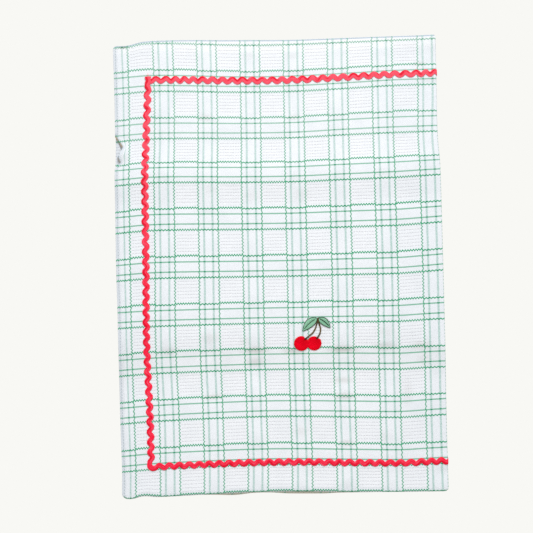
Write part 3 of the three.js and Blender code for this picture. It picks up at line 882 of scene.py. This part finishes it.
def threadMesh(strands, size, sides=1):
    # Strands as one curve with round section, thinner at both ends, turned into a mesh
    curve = bpy.data.curves.new("strands", "CURVE")
    curve.dimensions = "3D"
    curve.bevel_depth = size["radius"] * metres
    curve.bevel_resolution = sides
    curve.use_fill_caps = True
    for points in strands:
        spline = curve.splines.new("POLY")
        spline.points.add(len(points) - 1)
        for k, point in enumerate(points):
            spline.points[k].co = (*point, 1)
            spline.points[k].radius = size["ends"] if k in (0, len(points) - 1) else 1
    holder = bpy.data.objects.new("strands", curve)
    bpy.context.scene.collection.objects.link(holder)
    bpy.context.view_layer.update()
    graph = bpy.context.evaluated_depsgraph_get()
    mesh = bpy.data.meshes.new_from_object(holder.evaluated_get(graph))
    bpy.data.objects.remove(holder)
    bpy.data.curves.remove(curve)
    return mesh


def toneAt(mesh, tone):  # how dark a thread is, 0 to 1: one number, or a function of the place
    layer = mesh.attributes.new("tone", "FLOAT", "POINT")
    layer.data.foreach_set("value", [tone(vert.co / metres) if callable(tone) else tone
                                     for vert in mesh.vertices])


def threadPiece(name, strands, size, material, sides=1, tone=None, node=None):
    mesh = threadMesh(strands, size, sides)
    toneAt(mesh, tone or size["tone"])
    finishPiece(name, mesh, material, node)


def addMesh(bm, mesh):
    bm.from_mesh(mesh)
    bpy.data.meshes.remove(mesh)


# Each stitch dives into the cloth at both ends, by its own radius times these
hemStitch = {"inset": 7.4, "long": 2.9, "gap": 0.9, "start": 0.1, "radius": 0.24, "ends": 0.55,
             "tone": 0.35, "dive": ((0, -1.4), (0.2, 0.6), (0.8, 0.6), (1, -1.4))}
tapeStitch = {"pitch": 3.2, "radius": 0.2, "ends": 0.55, "tone": 0.5, "dive": -1.2, "rise": 0.7}


def makeHemStitches():
    inset = hemStitch["inset"]
    back, far = cloth["length"] - inset, cloth["width"] - inset
    route = [(inset, inset), (back, inset), (back, far), (inset, far), (inset, inset)]
    repeat = hemStitch["long"] + hemStitch["gap"]
    strands = []
    for start, end in zip(route, route[1:]):
        start, end = Vector(start), Vector(end)
        count = round((end - start).length / repeat)
        for k in range(count):
            points = []
            for t, rise in hemStitch["dive"]:
                along = k + hemStitch["start"] + t * hemStitch["long"] / repeat
                at = start + (end - start) / count * along
                points.append(seatPoint(at.x, at.y, hemStitch["radius"] * rise))
            strands.append(points)
    threadPiece("hem_stitches", strands, hemStitch, "white", sides=0)


def makeTapeStitches():
    dive, rise = tapeStitch["dive"], tapeStitch["rise"]
    strands = []
    run, travelled = [], 0
    for before, after in zip(stations, stations[1:]):
        travelled += (after[0] - before[0]).length
        run.append((after[0], tapeLift + after[3]))
        if travelled >= tapeStitch["pitch"]:
            strands.append([tapeSeat(run[k][0], run[k][1] + tapeStitch["radius"] * high)
                            for k, high in ((0, dive), (len(run) // 2, rise), (-1, dive))])
            run, travelled = [], 0
    threadPiece("tape_stitches", strands, tapeStitch, "red", sides=0)


makeHemStitches()
makeTapeStitches()

# Loose thread ends where the tape is cut, at the top of its first leg: sideways, back from it, and height
looseEnds = {"radius": 0.3, "ends": 0.55, "tone": 0.1,
             "strands": [[(-1, -6.5, 1.2), (-0.6, -8.6, 2.2), (0.2, -11, 2.4), (0.1, -13.6, 1.6)],
                         [(1, -6.5, 1.2), (1.1, -8.4, 1.8), (0.5, -10.6, 1.4)]]}


def makeLooseEnds():
    corner = sideS + tape["leanSideways"]
    strands = [[seatPoint(corner + sideways, farLine - back, height + tape["endLift"])
                for sideways, back, height in route] for route in looseEnds["strands"]]
    threadPiece("tape_end_threads", strands, looseEnds, "red")


makeLooseEnds()
print("stitches made")

# The stitched motif, each piece placed from the point where the stems join
motif = {"u": 401.6, "v": 339.6, "seat": 0.35, "gap": -0.9}


def motifPoint(u, v, height):
    return seatPoint(motif["u"] + u, motif["v"] + v, height)


cherries = [
    {"name": "cherry_left", "u": -34, "v": -46, "radius": 15.1, "slant": 62, "dimple": 50, "dip": 0.15},
    {"name": "cherry_right", "u": -8.6, "v": -46.1, "radius": 14.6, "slant": 118, "dimple": 58, "dip": 0.12},
]
satin = {"spacing": 0.62, "radius": 0.36, "top": 1.35, "edge": 0.45, "rings": 5, "sides": 40, "narrow": 26,
         "samples": 44, "margin": 0.1, "every": 3, "split": 0.36, "stagger": 0.1, "sink": 0.25, "ends": 0.7}
# Painted highlight and shade of the satin's sheen, lighter low on the left and darker up on the right:
# sideways and up from the middle, how far squared, and how much
cherryTone = {"plain": 0.32, "sheenSpots": [(-6, -5, 40, -0.3), (5, 4, 50, 0.2)], "rimFrom": 0.7, "rim": 0.1}


def cherryReach(cherry, angle):
    left, right = cherries
    turn = max(0, math.cos(angle - math.radians(cherry["dimple"])))
    reach = cherry["radius"] * (1 - cherry["dip"] * turn ** satin["narrow"])
    if cherry is not left:
        return reach
    away = Vector((right["u"] - left["u"], right["v"] - left["v"]))
    middle = math.cos(angle) * away.x + math.sin(angle) * away.y
    square = middle ** 2 - away.length_squared + (right["radius"] + motif["gap"]) ** 2
    return min(reach, middle - math.sqrt(square)) if square > 0 and middle > 0 else reach


def satinHeight(share):  # share is 0 in the middle of a cherry and 1 at its edge
    rise = (satin["top"] - satin["edge"]) * math.sqrt(max(0, 1 - share ** 2))
    return motif["seat"] + satin["edge"] + rise


def satinRuns(cherry):
    # Slanted rows of thread over the cherry, each split in two at a place that differs from row to row
    turn = math.radians(cherry["slant"])
    along = Vector((math.cos(turn), math.sin(turn)))
    aside = Vector((-along.y, along.x))
    strands = []
    for k in range(int(2 * cherry["radius"] / satin["spacing"])):
        inside = []
        for m in range(satin["samples"] + 1):
            at = aside * (satin["spacing"] * (k + 0.5) - cherry["radius"])
            at += along * cherry["radius"] * (2 * m / satin["samples"] - 1)
            reach = cherryReach(cherry, math.atan2(at.y, at.x))
            if at.length < reach - satin["margin"]:
                inside.append((at, satinHeight(at.length / reach)))
        if len(inside) < 3:
            continue
        split = int(len(inside) * (satin["split"] + satin["stagger"] * (k % 3) / 3))
        for run in (inside[:max(2, split)], inside[max(1, split) - 1:]):
            if len(run) < 2:
                continue
            kept = run[::satin["every"]] + ([run[-1]] if (len(run) - 1) % satin["every"] else [])
            ends = (0, len(kept) - 1)
            strands.append([motifPoint(cherry["u"] + at.x, cherry["v"] + at.y,
                                       height - (satin["sink"] if n in ends else 0))
                            for n, (at, height) in enumerate(kept)])
    return strands


def makeCherry(cherry):
    bm = bmesh.new()
    bmesh.ops.create_uvsphere(bm, u_segments=satin["sides"], v_segments=2 * satin["rings"], radius=1)
    for vert in bm.verts:
        angle = math.atan2(vert.co.y, vert.co.x)
        share = min(1, math.hypot(vert.co.x, vert.co.y))
        reach = share * (cherryReach(cherry, angle) - satin["radius"])
        top = satinHeight(share) if vert.co.z > -0.01 else motif["seat"]  # flat below
        x, y = reach * math.cos(angle), reach * math.sin(angle)
        vert.co = motifPoint(cherry["u"] + x, cherry["v"] + y, top)
    addMesh(bm, threadMesh(satinRuns(cherry), satin))
    mesh = meshOf(bm)
    centre = motifPoint(cherry["u"], cherry["v"], 1) / metres

    def tone(point):
        x, y = (point - centre).xy
        away = math.hypot(x, y) / cherry["radius"]
        rim = clamp01((away - cherryTone["rimFrom"]) / (1 - cherryTone["rimFrom"]))
        amount = cherryTone["plain"] + cherryTone["rim"] * rim
        for across, up, wide, much in cherryTone["sheenSpots"]:
            amount += much * math.exp(-((x - across) ** 2 + (y - up) ** 2) / wide)
        return amount

    toneAt(mesh, tone)
    finishPiece(cherry["name"] + "_satin", mesh, "satin", cherry["name"])


for cherry in cherries:
    makeCherry(cherry)

stems = {
    "stem_left": [(-27.6, -38.2), (-21.6, -33.4), (-11, -24.7), (-5.2, -14.5), (-3, -5.2)],
    "stem_right": [(-4, -36.8), (-1.6, -34), (3, -26.4), (4.2, -16.4), (1, -5.2)],
}
rope = {"radius": 0.68, "long": 4.6, "step": 1.1, "half": 1.2, "height": 0.8, "climb": 1.1, "ends": 0.6,
        "tone": 0.6}
stemStitch = {"swell": 0.5, "sink": 0.4, "climbFade": (4, 9)}
stemTone = {"plain": 0.25, "low": 0.75, "lowReach": 9, "high": 0.45, "highReach": 6}


def smoothRoute(points, spacing):
    # Points at even spacing on a smooth curve through the given ones
    places = [0.0]
    for a, b in zip(points, points[1:]):
        places.append(places[-1] + math.dist(a, b))
    count = max(2, round(places[-1] / spacing))
    return [Vector([curveThrough(places, [p[axis] for p in points], places[-1] * k / count)
                    for axis in (0, 1)]) for k in range(count + 1)]


def ropeStrands(points, size, climb=0):
    # Overlapping slanted stitches along a route, as stem stitch is sewn; its first end may climb a cherry
    route = smoothRoute(points, size["step"])
    reach = max(1, round(size["long"] / size["step"] / 2))
    strands = []
    for k in range(len(route)):
        first, last = max(0, k - reach), min(len(route) - 1, k + reach)
        way = route[last] - route[first]
        if way.length < size["step"]:
            continue
        left = Vector((-way.y, way.x)).normalized()
        stitch = []
        for t in (0, 0.25, 0.5, 0.75, 1):
            base = route[round(mix(first, last, t))]
            at = base + left * size["half"] * (1 - 2 * t)
            height = size["height"] + size["radius"] * stemStitch["swell"] * arch(t)
            height += climb * fadeOut((base - route[0]).length, *stemStitch["climbFade"])
            height -= stemStitch["sink"] if t in (0, 1) else 0
            stitch.append(motifPoint(at.x, at.y, motif["seat"] + height))
        strands.append(stitch)
    return strands


def makeStem(name, points):
    low, high = (motifPoint(*points[k], 1) / metres for k in (0, -1))

    def tone(point):
        nearLow = math.exp(-((point - low).length / stemTone["lowReach"]) ** 2)
        nearHigh = math.exp(-((point - high).length / stemTone["highReach"]) ** 2)
        return stemTone["plain"] + stemTone["low"] * nearLow + stemTone["high"] * nearHigh

    strands = ropeStrands(points, rope, rope["climb"])
    threadPiece(name + "_rope", strands, rope, "stem", tone=tone, node=name)


for name, points in stems.items():
    makeStem(name, points)

leaves = [
    {"name": "leaf_left", "base": (-2.4, 4.6), "tip": (-30.8, -21), "wide": 15.8, "bow": 2.2},
    {"name": "leaf_right", "base": (0.2, 4.8), "tip": (23.4, -15.2), "wide": 13.2, "bow": 1.8},
]
leafFill = {"tip": 0.4, "full": 0.82, "blunt": 0.95, "spacing": 0.75, "radius": 0.36, "slant": 38,
            "height": 0.5, "steps": 40, "across": [-0.93, -0.5, 0, 0.5, 0.93], "thick": 0.4,
            "shares": (0.04, 0.3, 0.6, 0.9), "short": 0.8, "end": 0.985, "swell": 0.35, "ends": 0.8}
leafEdge = {"radius": 0.46, "long": 3.2, "step": 0.9, "half": 0.4, "height": 0.66, "ends": 0.6, "tone": 0.7}
leafVein = {"radius": 0.46, "long": 3.4, "step": 0.9, "half": 0.4, "height": 0.9,
            "side": 0.05, "from": 0.12, "to": 0.86}
leafTone = {"plain": 0.15, "middle": 0.5, "reach": 2.2}


def leafPoint(leaf, t, side):  # t along the leaf, side from -1 to 1 across it
    base, tip = Vector(leaf["base"]), Vector(leaf["tip"])
    ahead = tip - base
    upward = Vector((-ahead.y, ahead.x)).normalized()
    upward *= math.copysign(1, upward.y)
    half = leafFill["tip"] + leaf["wide"] / 2 * arch(t ** leafFill["full"]) ** leafFill["blunt"]
    return base + ahead * t + upward * (leaf["bow"] * arch(t) + side * half)


def leafStrands(leaf, length):
    lean = math.tan(math.radians(leafFill["slant"])) / length * leafFill["short"]
    count = int(length / leafFill["spacing"])
    strands = []
    for side in (-1, 1):
        for k in range(1, count):
            points = []
            for share in leafFill["shares"]:
                t = min(leafFill["end"], k / count + leaf["wide"] / 2 * share * lean)
                at = leafPoint(leaf, t, side * share)
                swell = leafFill["swell"] * arch(share)
                points.append(motifPoint(at.x, at.y, motif["seat"] + leafFill["height"] + swell))
            strands.append(points)
    return strands


def makeLeaf(leaf):
    length = math.dist(leaf["base"], leaf["tip"])
    bm = bmesh.new()
    addMesh(bm, sheetMesh(
        spread(0.01, 0.99, 0.98 / leafFill["steps"]), leafFill["across"],
        lambda t, side: motifPoint(*leafPoint(leaf, t, side), motif["seat"] + leafFill["height"]),
        lambda t, side: (t * length * metres, side * leaf["wide"] / 2 * metres)))
    bmesh.ops.solidify(bm, geom=bm.faces[:], thickness=leafFill["thick"] * metres)
    addMesh(bm, threadMesh(leafStrands(leaf, length), leafFill))
    mesh = meshOf(bm)
    middle = [motifPoint(*leafPoint(leaf, t, 0), 1) / metres for t in spread(0.05, 0.95, 0.1)]

    def tone(point):
        away = min((point - at).length for at in middle)
        return leafTone["plain"] + leafTone["middle"] * math.exp(-(away / leafTone["reach"]) ** 2)

    toneAt(mesh, tone)
    finishPiece(leaf["name"] + "_fill", mesh, "leaf", leaf["name"])

    def line(side, start, end, size):
        return ropeStrands([tuple(leafPoint(leaf, t, side)) for t in spread(start, end, 0.09)], size)

    lines = line(1, 0, 1, leafEdge) + line(-1, 0, 1, leafEdge)
    lines += line(leafVein["side"], leafVein["from"], leafVein["to"], leafVein)
    threadPiece(leaf["name"] + "_outline", lines, leafEdge, "outline")


for leaf in leaves:
    makeLeaf(leaf)

# The twig above the stems, where they meet the leaves
twig = [[(-2.6, -6.4), (-1.7, -3), (-1.3, 0.6), (-1.2, 5)], [(1.0, -6.2), (0.4, -3), (0.1, 0), (0, 4.8)]]
twigStrands = [strand for route in twig for strand in ropeStrands(route, rope)]
threadPiece("twig_rope", twigStrands, rope, "stem")
print("motif made")

# Everything rides on the part's one body, and the cloth is one folded sheet with its trim
for piece in made.values():
    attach(piece, "root")


def addThing(name, data, at, turn):
    thing = bpy.data.objects.new(name, data)
    thing.location = at
    thing.rotation_euler = turn
    bpy.context.scene.collection.objects.link(thing)
    return thing


# A camera straight above, turned with the photo, a pale floor and a soft light from the far side
view = {"at": (-0.0268, 0.0013, 2.504), "turn": -1.2, "lens": 85}
cameraData = bpy.data.cameras.new("camera")
cameraData.lens = view["lens"]
straightDown = Euler((0, 0, math.radians(view["turn"])))
bpy.context.scene.camera = addThing("camera", cameraData, view["at"], straightDown)

floorLook = {"size": 6.0, "colour": (248, 248, 244), "drop": 0.0006}


def makeFloor():
    ends = (-floorLook["size"] / 2, floorLook["size"] / 2)
    mesh = sheetMesh(ends, ends, lambda x, y: (x, y, -floorLook["drop"]), lambda x, y: (x, y))
    material, shader = newMaterial("pale floor", roughness=0.5, specular=0)
    shader.inputs["Base Color"].default_value = (0, 0, 0, 1)
    shader.inputs["Emission Color"].default_value = (*linear(*floorLook["colour"]), 1)
    shader.inputs["Emission Strength"].default_value = 1
    mesh.materials.append(material)
    addThing("floor", mesh, (0, 0, 0), Euler())


makeFloor()

lights = [
    {"name": "window", "at": (0.5, 5, 3.6), "size": 2.6, "power": 310, "colour": (0.965, 0.985, 1.0)},
    {"name": "fill", "at": (-1.6, -1.2, 2.0), "size": 2.4, "power": 6, "colour": (0.9, 0.95, 1)},
]
for light in lights:
    data = bpy.data.lights.new(light["name"], "AREA")
    data.size = light["size"]
    data.energy = light["power"]
    data.color = light["colour"]
    towards = -Vector(light["at"])
    addThing(light["name"], data, light["at"], towards.to_track_quat("-Z", "Y").to_euler())

room = {"colour": (0.975, 0.965, 0.95), "strength": 0.585}
world = bpy.data.worlds.new("pale room")
world.use_nodes = True
background = world.node_tree.nodes["Background"]
background.inputs["Color"].default_value = (*room["colour"], 1)
background.inputs["Strength"].default_value = room["strength"]
bpy.context.scene.world = world
bpy.context.scene.view_settings.view_transform = "Standard"
bpy.context.scene.cycles.use_denoising = False  # it would smear the small zigzags into straight lines
